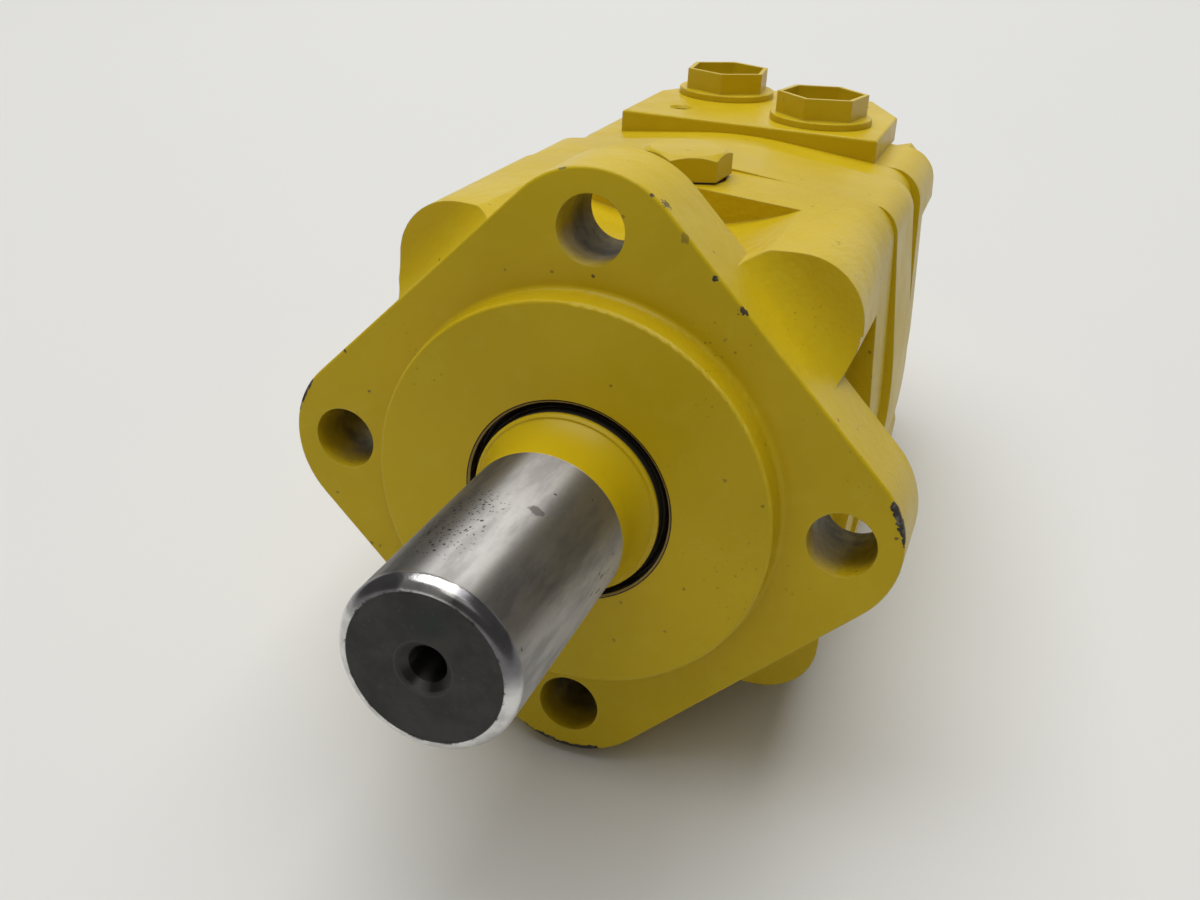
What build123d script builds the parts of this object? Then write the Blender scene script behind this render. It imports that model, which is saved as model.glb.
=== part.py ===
from build123d import *
import os
from math import sin, cos, tan, atan2, pi, radians, degrees, hypot, sqrt

# Orbital (geroler) hydraulic motor with a disc valve.
# Millimetres, +Z up. The output shaft points to -Y, the port housing is at +Y.
# Origin: the shaft axis where it crosses the flange mounting face (Y = 0).

# ------------------------------------------------------------------ sizes
# mounting flange and pilot
FLANGE_T = 18.5           # flange thickness
FLANGE_EDGE = 73.1        # |x| + |z| of the straight edges
FLANGE_R = 20.0           # corner radius of the flange
BOLT_CIRCLE_R = 53.2      # four flange bolts on 106.4
BOLT_HOLE_R = 6.75        # 13.5 mm holes
PILOT_R = 41.25           # 82.5 mm pilot
PILOT_H = 6.5
# output shaft
SHAFT_R = 16.0            # 32 mm cylindrical shaft
SHAFT_END = -66.8
COLLAR_R = 19.2
END_THREAD_R = 3.4        # M8 core
# stack of sections along the axis (Y)
Y_RIM = 50.0              # front of the housing rim plate
Y_HOUSING = 70.0          # rear of the bearing housing
Y_WEAR = 74.0             # rear of the wear plate
Y_RING = 95.8             # rear of the geroler ring
Y_PLATE = 114.4           # rear of the valve plate
Y_LOBE = 143.0            # rear of the port housing lobes
Y_END = 172.0             # rear end
# tie bolts
TIE = 36.0                # tie bolts at (+-36, +-36)
TIE_R = 5.0               # M10
TIE_HOLE_R = 5.4
# bearings 40 x 68 x 19
BRG_BORE_R = 20.0
BRG_OD_R = 34.0
BRG_W = 19.0
BRG_FRONT_Y = 11.0
BRG_REAR_Y = 50.0
BRG_TILT = 12.0           # degrees, roller axis to shaft axis
BRG_ROLLERS = 18
BRG_CLEAR = 0.06
# geroler set
ECC = 2.8                 # eccentricity
ROLLER_PITCH_R = 31.0
ROLLER_R = 6.0
RING_ROLLERS = 7
STAR_LOBES = 6
RING_BORE_R = 31.2
RUN = 0.05                # running clearance of the rollers
# drive splines
SP_N = 12
SP_ROOT_R, SP_TIP_R, SP_W = 10.0, 12.0, 2.2        # on the drives
SPI_TIP_R, SPI_ROOT_R, SPI_W = 10.6, 12.6, 3.4     # in the bores
SV_ROOT_R, SV_TIP_R, SV_W = 7.9, 9.5, 1.6          # valve end of the valve drive
SVI_TIP_R, SVI_ROOT_R, SVI_W = 8.5, 10.1, 2.7
# ports
PAD_X = 34.0
PAD_Z = 52.0
PAD_END = 168.0
PORT_A = (-16.0, 153.3)
PORT_B = (16.0, 131.0)
PORT_BORE_R = 9.5         # G1/2 core
PLUG_COLLAR_R = 13.5
PLUG_HEX_AF = 21.0
PLUG_TOP_Z = 59.3
# drain
DRAIN_Y = 60.5
DRAIN_BORE_R = 6.6        # M14 x 1.5 core
DRAIN_HEX_AF = 18.0

os.makedirs("parts", exist_ok=True)
BACK = (0, 1, 0)
FRONT = (0, -1, 0)


def at(y):
    """Cross-section plane at axial position y (local x = X, local y = Z)."""
    return Plane.XZ.offset(-y)


def save(part, name):
    part.label = name
    export_step(part, f"parts/{name}.step")


def section(y, apex, slope, corner_r, dx=0.0, dz=0.0, side_r=110.0):
    """Face of the rounded square section at axial position y; the rough casting lies dx, dz off the machined axis."""
    k = apex / (1 + slope)
    with BuildSketch(at(y)) as sk:
        with BuildLine():
            Polyline((apex, 0), (k, k), (0, apex), (-k, k), (-apex, 0), (-k, -k),
                     (0, -apex), (k, -k), close=True)
        make_face()
        vs = sk.sketch_local.vertices()
        fillet([v for v in vs if abs(abs(v.X) - abs(v.Y)) < 1e-6], radius=corner_r)
        vs = sk.sketch_local.vertices()
        fillet([v for v in vs if min(abs(v.X), abs(v.Y)) < 1e-6], radius=side_r)
    with BuildSketch(at(y)) as moved:
        with Locations((dx, dz)):
            add(sk.sketch_local)
    return moved


def valley_cuts(y0, y1, sides=(0, 1, 2, 3)):
    """Hollows between the lobes: a wide concave floor that rolls over into the lobes' sides."""
    x1 = 28.6
    z1 = VALLEY_C - sqrt(VALLEY_R ** 2 - x1 ** 2)
    tilt = atan2(x1, VALLEY_C - z1)
    x2, z2 = x1 + VALLEY_ROLL * sin(tilt), z1 + VALLEY_ROLL * (1 - cos(tilt))
    xm, zm = x1 + VALLEY_ROLL * (sin(tilt) - sin(tilt / 2)), z1 + VALLEY_ROLL * (cos(tilt / 2) - cos(tilt))
    with BuildPart() as cuts:
        for k in sides:
            # local x across the hollow, local y outward
            out = Vector(cos(radians(90 * k)), 0, sin(radians(90 * k)))
            with BuildSketch(Plane(origin=Vector(CAST_DX, y0, CAST_DZ), x_dir=out.cross(Vector(0, 1, 0)), z_dir=Vector(0, -1, 0) * -1)):
                with BuildLine():
                    ThreePointArc((-x1, z1), (0, VALLEY_C - VALLEY_R), (x1, z1))
                    ThreePointArc((x1, z1), (xm, zm), (x2, z2))
                    ThreePointArc((-x1, z1), (-xm, zm), (-x2, z2))
                    Polyline((x2, z2), (x2, 62.0), (-x2, 62.0), (-x2, z2))
                make_face()
            extrude(amount=y1 - y0, dir=BACK)
    return cuts.part


# apex, side slope, corner radius, offset of the rough outline
RIM = (50.2, 0.072, 9.5, -0.65, 0.85)       # bearing housing rear rim
LOBE = (49.5, 0.008, 13.0)                  # bearing housing at the lobes' front faces
RING = (51.9, 0.115, 7.0)                   # wear plate and geroler ring
PLATE = (49.4, 0.11, 7.5, -0.65, 0.6)       # valve plate
CAP = (48.9, 0.055, 8.5, 0.0, -1.0)         # port housing
# hollows between the lobes of the bearing housing
VALLEY_C, VALLEY_R, VALLEY_ROLL = 112.0, 70.0, 14.0
CAST_DX, CAST_DZ = -0.5, 0.5

tie_points = [(sx * TIE, sz * TIE) for sx in (1, -1) for sz in (1, -1)]

# ------------------------------------------------------------------ bearing housing
with BuildPart() as housing_fillets:
    # concave blends between the flange edges and the lobes' front faces
    R_BLEND = 8.5
    for k in range(4):
        a = radians(45 + 90 * k)
        n = Vector(cos(a), 0, sin(a))
        base = n * (FLANGE_EDGE / sqrt(2) - 0.5) + Vector(0, FLANGE_T, 0)
        # local x runs outward from the flange edge, local y towards the front
        with BuildSketch(Plane(origin=base, x_dir=n, z_dir=n.cross(Vector(0, -1, 0)))):
            with BuildLine():
                l1 = Line((0, -0.5), (0, R_BLEND))
                l2 = Line((0, R_BLEND), (0.5, R_BLEND))
                l3 = ThreePointArc((0.5, R_BLEND), (0.5 + R_BLEND * (1 - sqrt(0.5)), R_BLEND * (1 - sqrt(0.5))), (0.5 + R_BLEND, 0))
                l4 = Line((0.5 + R_BLEND, 0), (0.5 + R_BLEND, -0.5))
                l5 = Line((0.5 + R_BLEND, -0.5), (0, -0.5))
            make_face()
        extrude(amount=40, both=True)
    add(section(FLANGE_T - R_BLEND - 1, *LOBE).sketch)
    extrude(amount=R_BLEND + 1.6, dir=BACK, mode=Mode.INTERSECT)
    add(valley_cuts(5.0, 25.0), mode=Mode.SUBTRACT)

with BuildPart() as bearing_housing:
    # flange plate
    with BuildSketch(at(0)) as fl:
        with BuildLine():
            Polyline((FLANGE_EDGE, 0), (0, FLANGE_EDGE), (-FLANGE_EDGE, 0), (0, -FLANGE_EDGE), close=True)
        make_face()
        fillet(fl.sketch_local.vertices(), radius=FLANGE_R)
    extrude(amount=FLANGE_T, dir=BACK)
    front_edges = edges().filter_by_position(Axis.Y, -0.01, 0.01)
    fillet(front_edges, radius=0.6)
    # pilot with rounded front edge
    with BuildSketch(at(0)):
        Circle(PILOT_R)
    extrude(amount=PILOT_H, dir=FRONT)
    fillet(edges().filter_by(GeomType.CIRCLE).filter_by_position(Axis.Y, -PILOT_H - 0.01, -PILOT_H + 0.01), radius=0.7)
    base_edge = [e for e in edges().filter_by(GeomType.CIRCLE).filter_by_position(Axis.Y, -0.01, 0.01)
                 if abs(e.radius - PILOT_R) < 0.01]
    fillet(base_edge, radius=1.2)
    # lobed body behind the flange
    loft([section(FLANGE_T, *LOBE).sketch.face(), section(Y_RIM, *RIM).sketch.face()])
    # valleys between the lobes
    add(valley_cuts(FLANGE_T, Y_RIM), mode=Mode.SUBTRACT)
    # rim plate
    add(section(Y_RIM, *RIM).sketch)
    extrude(amount=Y_HOUSING - Y_RIM, dir=BACK)
    add(housing_fillets.part)
    # flange bolt holes with a light edge break
    with BuildSketch(at(0)):
        with PolarLocations(BOLT_CIRCLE_R, 4, start_angle=0):
            Circle(BOLT_HOLE_R)
    extrude(amount=FLANGE_T, dir=BACK, mode=Mode.SUBTRACT)
    with BuildSketch(at(FLANGE_T)):
        with PolarLocations(BOLT_CIRCLE_R, 4, start_angle=0):
            Circle(BOLT_HOLE_R)
    extrude(amount=Y_RIM - FLANGE_T - 0.0, dir=BACK, mode=Mode.SUBTRACT)
    # seal bores and bearing bore
    with BuildSketch(Plane.XY):
        with BuildLine():
            Polyline((0, -PILOT_H - 1), (21.4, -PILOT_H - 1), (21.4, -PILOT_H), (20.95, -PILOT_H + 0.45), (20.95, -3.0),
                     (23.0, -3.0), (23.0, 1.5), (20.3, 1.5), (20.3, 3.0), (26.0, 3.0), (26.0, BRG_FRONT_Y),
                     (BRG_OD_R, BRG_FRONT_Y), (BRG_OD_R, Y_HOUSING + 1), (0, Y_HOUSING + 1), close=True)
        make_face()
    revolve(axis=Axis.Y, mode=Mode.SUBTRACT)
    # tapped holes for the tie bolts
    with BuildSketch(at(Y_HOUSING)):
        with Locations(*tie_points):
            Circle(TIE_R + 0.02)
    extrude(amount=Y_HOUSING - 47.0, dir=FRONT, mode=Mode.SUBTRACT)
    # O-ring groove in the rear face
    with BuildSketch(at(Y_HOUSING)):
        Circle(42.6)
        Circle(40.0, mode=Mode.SUBTRACT)
    extrude(amount=1.7, dir=FRONT, mode=Mode.SUBTRACT)
    # drain port: spot face, tapped hole and oblique passage to the bearing chamber
    with Locations(Location((0, DRAIN_Y, 49.3 + 5))):
        Cylinder(radius=9.3, height=10, mode=Mode.SUBTRACT)
    with Locations(Location((0, DRAIN_Y, 49.3 - 5.5))):
        Cylinder(radius=DRAIN_BORE_R, height=11.2, mode=Mode.SUBTRACT)
    with Locations(Location((0, 52.5, 36.5), (-55, 0, 0))):
        Cylinder(radius=2.5, height=19, mode=Mode.SUBTRACT)
save(bearing_housing.part, "bearing_housing")

# ------------------------------------------------------------------ shaft seals
with BuildPart() as dust_seal:
    with BuildSketch(Plane.XY):
        with BuildLine():
            Polyline((COLLAR_R + 0.05, -4.6), (COLLAR_R + 0.5, -4.9), (COLLAR_R + 1.0, -3.1), (20.7, -2.8), (22.9, -2.8),
                     (22.9, 1.4), (COLLAR_R + 0.9, 1.4), (COLLAR_R + 0.9, -1.0), (COLLAR_R + 0.35, -3.6), close=True)
        make_face()
    revolve(axis=Axis.Y)
save(dust_seal.part, "dust_seal")

with BuildPart() as shaft_seal:
    # lip seal with a trough on its pressure side
    with BuildSketch(Plane.XY):
        with BuildLine():
            Polyline((COLLAR_R + 0.06, 5.6), (COLLAR_R + 0.9, 3.2), (25.9, 3.2), (25.9, 8.4), (24.3, 8.4), (23.6, 5.2),
                     (21.9, 5.2), (21.3, 8.0), (20.3, 8.2), close=True)
        make_face()
    revolve(axis=Axis.Y)
save(shaft_seal.part, "shaft_seal")

with BuildPart() as seal_support_ring:
    with BuildSketch(at(8.6)):
        Circle(25.95)
        Circle(20.6, mode=Mode.SUBTRACT)
    extrude(amount=BRG_FRONT_Y - 8.6 - 0.1, dir=BACK)
save(seal_support_ring.part, "seal_support_ring")

# ------------------------------------------------------------------ tapered roller bearings
alpha = radians(BRG_TILT)
ROL_C = 27.2              # radius of the roller axis at mid width
ROL_HALF = 6.6            # half length
ROL_SMALL, ROL_LARGE = 2.75, 3.25


def brg_point(s, off, y0, flip):
    """Point at distance s along the roller axis and off across it (outward +)."""
    r = ROL_C + s * sin(alpha) + off * cos(alpha)
    yy = s * cos(alpha) - off * sin(alpha)
    return (r, y0 + BRG_W / 2 + (yy if not flip else -yy))


def roller_radius(s):
    return ROL_SMALL + (ROL_LARGE - ROL_SMALL) * (s + ROL_HALF) / (2 * ROL_HALF)


def build_bearing(y0, flip, tag):
    f = -1 if flip else 1
    yl, yh = y0, y0 + BRG_W
    small_side, large_side = (yh, yl) if flip else (yl, yh)
    # races follow the rollers' generators with a small clearance
    i1 = brg_point(-ROL_HALF - 0.3, -(roller_radius(-ROL_HALF - 0.3) + BRG_CLEAR), y0, flip)
    i2 = brg_point(ROL_HALF + 0.15, -(roller_radius(ROL_HALF + 0.15) + BRG_CLEAR), y0, flip)
    o1 = brg_point(-ROL_HALF - 1.6, roller_radius(-ROL_HALF - 1.6) + BRG_CLEAR, y0, flip)
    o2 = brg_point(ROL_HALF + 1.0, roller_radius(ROL_HALF + 1.0) + BRG_CLEAR, y0, flip)
    rib = brg_point(ROL_HALF + 0.15, -0.6, y0, flip)
    rib_small = brg_point(-ROL_HALF - 0.3, -1.7, y0, flip)
    with BuildPart() as inner:
        with BuildSketch(Plane.XY):
            with BuildLine():
                Polyline((BRG_BORE_R, small_side), (rib_small[0], small_side), rib_small, i1, i2, rib, (rib[0], large_side),
                         (BRG_BORE_R, large_side), close=True)
            make_face()
        revolve(axis=Axis.Y)
    with BuildPart() as outer:
        with BuildSketch(Plane.XY):
            with BuildLine():
                Polyline((BRG_OD_R, small_side), (o1[0], small_side), o1, o2, (o2[0], o2[1] + 0.3 * f), (BRG_OD_R, o2[1] + 0.3 * f), close=True)
            make_face()
        revolve(axis=Axis.Y)
    # one tapered roller about its own axis
    c0 = brg_point(-ROL_HALF, 0, y0, flip)
    c1 = brg_point(ROL_HALF, 0, y0, flip)
    e0 = brg_point(-ROL_HALF, -ROL_SMALL, y0, flip)
    e1 = brg_point(ROL_HALF, -ROL_LARGE, y0, flip)
    own_axis = Axis((c0[0], c0[1], 0), (c1[0] - c0[0], c1[1] - c0[1], 0))
    with BuildPart() as one_roller:
        with BuildSketch(Plane.XY):
            with BuildLine():
                Polyline(c0, c1, e1, e0, close=True)
            make_face()
        revolve(axis=own_axis)
    with BuildPart() as pocket:
        p0 = brg_point(-ROL_HALF - 0.25, 0, y0, flip)
        p1 = brg_point(ROL_HALF + 0.25, 0, y0, flip)
        q0 = brg_point(-ROL_HALF - 0.25, -ROL_SMALL - 0.22, y0, flip)
        q1 = brg_point(ROL_HALF + 0.25, -ROL_LARGE - 0.22, y0, flip)
        with BuildSketch(Plane.XY):
            with BuildLine():
                Polyline(p0, p1, q1, q0, close=True)
            make_face()
        revolve(axis=own_axis)
    with BuildPart() as rollers:
        for k in range(BRG_ROLLERS):
            add(one_roller.part.rotate(Axis.Y, 360 / BRG_ROLLERS * k))
    with BuildPart() as cage:
        # conical strip between the races
        t = 0.55
        with BuildSketch(Plane.XY):
            with BuildLine():
                Polyline(brg_point(-ROL_HALF - 1.3, 0.4 - t, y0, flip), brg_point(-ROL_HALF - 1.3, 0.4 + t, y0, flip),
                         brg_point(ROL_HALF + 1.3, 0.4 + t, y0, flip), brg_point(ROL_HALF + 1.3, 0.4 - t, y0, flip), close=True)
            make_face()
        revolve(axis=Axis.Y)
        for k in range(BRG_ROLLERS):
            add(pocket.part.rotate(Axis.Y, 360 / BRG_ROLLERS * k), mode=Mode.SUBTRACT)
    save(inner.part, f"{tag}_bearing_inner_race")
    save(outer.part, f"{tag}_bearing_outer_race")
    save(rollers.part, f"{tag}_bearing_rollers")
    save(cage.part, f"{tag}_bearing_cage")
    return outer


front_outer = build_bearing(BRG_FRONT_Y, False, "front")
rear_outer = build_bearing(BRG_REAR_Y, True, "rear")

with BuildPart() as bearing_shim:
    with BuildSketch(at(BRG_REAR_Y + BRG_W)):
        Circle(BRG_OD_R - 0.05)
        Circle(30.0, mode=Mode.SUBTRACT)
    extrude(amount=Y_HOUSING - BRG_REAR_Y - BRG_W, dir=BACK)
save(bearing_shim.part, "bearing_shim")


# ------------------------------------------------------------------ splines
def spline_teeth(root_r, tip_r, width, n):
    """External spline section: a root circle with straight-sided teeth."""
    Circle(root_r)
    with PolarLocations(0, n):
        with Locations((root_r / 2 + tip_r / 2, 0)):
            Rectangle(tip_r - root_r + 1.6, width)
    Circle(tip_r, mode=Mode.INTERSECT)


def spline_bore(tip_r, root_r, width, n):
    """Internal spline section (the empty space)."""
    Circle(tip_r)
    with PolarLocations(0, n):
        with Locations((tip_r / 2 + root_r / 2, 0)):
            Rectangle(root_r - tip_r + 1.6, width)
    Circle(root_r, mode=Mode.INTERSECT)


# ------------------------------------------------------------------ output shaft
SOCKET_Y = 41.0           # centre of the front spline engagement
with BuildPart() as output_shaft:
    with BuildSketch(Plane.XY):
        with BuildLine():
            a0 = Polyline((0, SHAFT_END), (13.6, SHAFT_END))
            a1 = ThreePointArc((13.6, SHAFT_END), (15.35, SHAFT_END + 0.75), (SHAFT_R, SHAFT_END + 2.6))
            a2 = Line((SHAFT_R, SHAFT_END + 2.6), (SHAFT_R, -15.0))
            a3 = ThreePointArc((SHAFT_R, -15.0), (16.52, -11.5), (18.25, -8.0))
            a4 = Polyline((18.25, -8.0), (18.7, -8.0), (COLLAR_R, -7.5), (COLLAR_R, 10.4), (BRG_BORE_R, 11.0),
                          (BRG_BORE_R, BRG_FRONT_Y + BRG_W), (23.0, BRG_FRONT_Y + BRG_W), (23.0, BRG_REAR_Y), (BRG_BORE_R, BRG_REAR_Y),
                          (BRG_BORE_R, 67.7), (19.3, 68.4), (14.0, 68.4), (13.6, 67.8), (13.6, 48.5), (12.7, 47.9), (12.7, 47.5),
                          (10.0, 47.5), (10.0, 33.0), (0, 28.0), (0, SHAFT_END))
        make_face()
    revolve(axis=Axis.Y)
    with BuildSketch(at(47.5)):
        spline_bore(SPI_TIP_R, SPI_ROOT_R, SPI_W, SP_N)
    extrude(amount=14.5, dir=FRONT, mode=Mode.SUBTRACT)
    # tapped centre hole with countersink
    with BuildSketch(Plane.XY):
        with BuildLine():
            Polyline((0, SHAFT_END - 1), (5.6, SHAFT_END - 1), (5.0, SHAFT_END), (END_THREAD_R, SHAFT_END + 1.6),
                     (END_THREAD_R, SHAFT_END + 19.0), (0, SHAFT_END + 21.0), close=True)
        make_face()
    revolve(axis=Axis.Y, mode=Mode.SUBTRACT)
save(output_shaft.part, "output_shaft")

# ------------------------------------------------------------------ main drive (tilted, splined at both ends)
STAR_Y = 82.5             # centre of the rear spline engagement
md_dir = Vector(ECC, STAR_Y - SOCKET_Y, 0)
MD_LEN = md_dir.length
md_dir = md_dir.normalized()


def drive_plane(origin, direction, s):
    return Plane(origin=origin + direction * s, x_dir=Vector(0, 0, 1).cross(direction), z_dir=direction)


def axis_angle_plane(origin, direction, s):
    """Plane across the drive with its local x along the global X direction."""
    x = Vector(1, 0, 0) - direction * direction.X
    return Plane(origin=origin + direction * s, x_dir=x.normalized(), z_dir=direction)


md_o = Vector(0, SOCKET_Y, 0)
with BuildPart() as main_drive:
    with BuildSketch(axis_angle_plane(md_o, md_dir, -5.0)):
        spline_teeth(SP_ROOT_R, SP_TIP_R, SP_W, SP_N)
    extrude(amount=10.0)
    with BuildSketch(axis_angle_plane(md_o, md_dir, 5.0)):
        Circle(8.8)
    extrude(amount=MD_LEN - 9.5)
    with BuildSketch(axis_angle_plane(md_o, md_dir, MD_LEN - 4.5)):
        spline_teeth(SP_ROOT_R, SP_TIP_R, SP_W, SP_N)
    extrude(amount=9.0)
save(main_drive.part, "main_drive")

# ------------------------------------------------------------------ wear plate
with BuildPart() as wear_plate:
    add(section(Y_HOUSING, *RING).sketch)
    extrude(amount=Y_WEAR - Y_HOUSING, dir=BACK)
    with BuildSketch(at(Y_HOUSING)):
        Circle(15.5)
        with Locations(*tie_points):
            Circle(TIE_HOLE_R)
    extrude(amount=Y_WEAR - Y_HOUSING, dir=BACK, mode=Mode.SUBTRACT)
save(wear_plate.part, "wear_plate")

# ------------------------------------------------------------------ geroler ring and rollers
roller_angles = [90 + 360 / RING_ROLLERS * k for k in range(RING_ROLLERS)]
roller_xz = [(ROLLER_PITCH_R * cos(radians(a)), ROLLER_PITCH_R * sin(radians(a))) for a in roller_angles]
with BuildPart() as geroler_ring:
    add(section(Y_WEAR, *RING).sketch)
    extrude(amount=Y_RING - Y_WEAR, dir=BACK)
    with BuildSketch(at(Y_WEAR)):
        Circle(RING_BORE_R)
        with Locations(*roller_xz):
            Circle(ROLLER_R + RUN)
        with Locations(*tie_points):
            Circle(TIE_HOLE_R)
    extrude(amount=Y_RING - Y_WEAR, dir=BACK, mode=Mode.SUBTRACT)
    for y, d in ((Y_WEAR, BACK), (Y_RING, FRONT)):
        with BuildSketch(at(y)):
            Circle(42.6)
            Circle(40.0, mode=Mode.SUBTRACT)
        extrude(amount=1.7, dir=d, mode=Mode.SUBTRACT)
save(geroler_ring.part, "geroler_ring")

ROLLER_L = Y_RING - Y_WEAR - 0.2
for k, (x, z) in enumerate(roller_xz):
    with BuildPart() as ring_roller:
        with BuildSketch(at(Y_WEAR + 0.1)):
            with Locations((x, z)):
                Circle(ROLLER_R)
        extrude(amount=ROLLER_L, dir=BACK)
        chamfer(ring_roller.edges().filter_by(GeomType.CIRCLE), length=0.4)
    save(ring_roller.part, f"ring_roller_{k + 1}")

# ------------------------------------------------------------------ star
# The star's centre sits ECC from the shaft axis along +X. In the star's own frame the
# roller centres run along P(t) = Rp u(t) - e u(7t + phase); the profile is its inward offset.
STAR_CLEAR = 0.06


def star_profile(n):
    pts = []
    # phase makes the star mesh with rollers whose first one stands at 90 degrees
    ph = -RING_ROLLERS * radians(90)
    for i in range(n):
        t = 2 * pi * i / n
        px = ROLLER_PITCH_R * cos(t) - ECC * cos(7 * t + ph)
        pz = ROLLER_PITCH_R * sin(t) - ECC * sin(7 * t + ph)
        dx = -ROLLER_PITCH_R * sin(t) + 7 * ECC * sin(7 * t + ph)
        dz = ROLLER_PITCH_R * cos(t) - 7 * ECC * cos(7 * t + ph)
        L = hypot(dx, dz)
        nx, nz = dz / L, -dx / L      # outward normal of the path
        off = ROLLER_R + STAR_CLEAR
        pts.append((px - off * nx + ECC, pz - off * nz))
    return pts


with BuildPart() as star:
    with BuildSketch(at(Y_WEAR + 0.08)):
        with BuildLine():
            Spline(*star_profile(144), periodic=True)
        make_face()
        with Locations((ECC, 0)):
            Circle(SPI_TIP_R, mode=Mode.SUBTRACT)
            with PolarLocations(0, SP_N):
                with Locations((SPI_TIP_R / 2 + SPI_ROOT_R / 2 - 0.4, 0)):
                    Rectangle(SPI_ROOT_R - SPI_TIP_R + 0.8, SPI_W, mode=Mode.SUBTRACT)
    extrude(amount=Y_RING - Y_WEAR - 0.16, dir=BACK)
save(star.part, "star")

with BuildPart() as drive_spacer:
    with BuildSketch(at(88.1)):
        with Locations((ECC, 0)):
            Circle(10.2)
    extrude(amount=1.45, dir=BACK)
save(drive_spacer.part, "drive_spacer")

# ------------------------------------------------------------------ valve drive
VD_F, VD_R = 93.2, 123.0
vd_o = Vector(ECC, VD_F, 0)
vd_dir = Vector(-ECC, VD_R - VD_F, 0)
VD_LEN = vd_dir.length
vd_dir = vd_dir.normalized()
with BuildPart() as valve_drive:
    with BuildSketch(axis_angle_plane(vd_o, vd_dir, -2.1)):
        spline_teeth(SP_ROOT_R, SP_TIP_R - 0.1, SP_W, SP_N)
    extrude(amount=4.2)
    with BuildSketch(axis_angle_plane(vd_o, vd_dir, 2.1)):
        Circle(6.6)
    extrude(amount=VD_LEN - 5.1)
    with BuildSketch(axis_angle_plane(vd_o, vd_dir, VD_LEN - 3.0)):
        spline_teeth(SV_ROOT_R, SV_TIP_R, SV_W, SP_N)
    extrude(amount=6.0)
save(valve_drive.part, "valve_drive")

# ------------------------------------------------------------------ valve plate
mid_angles = [a + 180 / RING_ROLLERS for a in roller_angles]
with BuildPart() as valve_plate:
    add(section(Y_RING, *PLATE).sketch)
    extrude(amount=Y_PLATE - Y_RING, dir=BACK)
    with BuildSketch(at(Y_RING)):
        Circle(15.0)
        with Locations(*tie_points):
            Circle(TIE_HOLE_R)
        with Locations(*[(28.4 * cos(radians(a)), 28.4 * sin(radians(a))) for a in mid_angles]):
            Circle(2.8)
    extrude(amount=Y_PLATE - Y_RING, dir=BACK, mode=Mode.SUBTRACT)
save(valve_plate.part, "valve_plate")

# ------------------------------------------------------------------ disc valve
VALVE_F, VALVE_B = Y_PLATE + 0.1, 127.4
with BuildPart() as valve_disc:
    with BuildSketch(at(VALVE_F)):
        Circle(34.0)
    extrude(amount=VALVE_B - VALVE_F, dir=BACK)
    with BuildSketch(at(VALVE_F)):
        Circle(13.0)
    extrude(amount=119.0 - VALVE_F, dir=BACK, mode=Mode.SUBTRACT)
    with BuildSketch(at(119.0)):
        spline_bore(SVI_TIP_R, SVI_ROOT_R, SVI_W, SP_N)
    extrude(amount=VALVE_B - 119.0, dir=BACK, mode=Mode.SUBTRACT)
    # six slots open to the rim, six open to the inner groove
    with BuildSketch(at(VALVE_F)):
        with PolarLocations(0, STAR_LOBES):
            with Locations((30.6, 0)):
                Rectangle(9.2, 5.2)
        with PolarLocations(0, STAR_LOBES, start_angle=180 / STAR_LOBES):
            with Locations((25.2, 0)):
                Rectangle(11.2, 5.2)
    extrude(amount=5.0, dir=BACK, mode=Mode.SUBTRACT)
    with BuildSketch(at(VALVE_B)):
        Circle(22.4)
        Circle(18.0, mode=Mode.SUBTRACT)
    extrude(amount=VALVE_B - VALVE_F - 2.6, dir=FRONT, mode=Mode.SUBTRACT)
save(valve_disc.part, "valve_disc")

# ------------------------------------------------------------------ balance ring, its seals and springs
BAL_F, BAL_B = 127.5, 136.4
with BuildPart() as balance_ring:
    with BuildSketch(Plane.XY):
        with BuildLine():
            Polyline((17.2, BAL_F), (33.9, BAL_F), (33.9, 129.9), (32.3, 129.9), (32.3, 132.6), (33.9, 132.6), (33.9, BAL_B),
                     (19.0, BAL_B), (19.0, 134.0), (17.2, 134.0), close=True)
        make_face()
    revolve(axis=Axis.Y)
    # spring pockets in the rear face
    with BuildSketch(at(BAL_B)):
        with PolarLocations(26.5, 6, start_angle=30):
            Circle(3.3)
    extrude(amount=3.0, dir=FRONT, mode=Mode.SUBTRACT)
save(balance_ring.part, "balance_ring")

with BuildPart() as balance_ring_seal:
    with BuildSketch(Plane.XY):
        with Locations((33.12, 131.25)):
            Circle(0.79)
    revolve(axis=Axis.Y)
save(balance_ring_seal.part, "balance_ring_seal")

with BuildPart() as one_spring:
    with BuildLine() as coil:
        Helix(pitch=1.38, height=6.9, radius=2.5)
    with BuildSketch(Plane(origin=coil.line @ 0, z_dir=coil.line % 0)):
        Circle(0.45)
    sweep()
with BuildPart() as balance_springs:
    for k in range(6):
        a = radians(30 + 60 * k)
        sp = one_spring.part.rotate(Axis.X, -90)
        add(sp.moved(Location((26.5 * cos(a), BAL_B - 2.5, 26.5 * sin(a)))))
save(balance_springs.part, "balance_springs")

# ------------------------------------------------------------------ O-rings between the sections
for tag, y in (("housing", Y_HOUSING - 0.85), ("ring_front", Y_WEAR + 0.85), ("ring_rear", Y_RING - 0.85),
               ("port_housing", Y_PLATE + 0.85)):
    with BuildPart() as o_ring:
        with BuildSketch(Plane.XY):
            with Locations((41.3, y)):
                Circle(0.84)
        revolve(axis=Axis.Y)
    save(o_ring.part, f"{tag}_o_ring")

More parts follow.
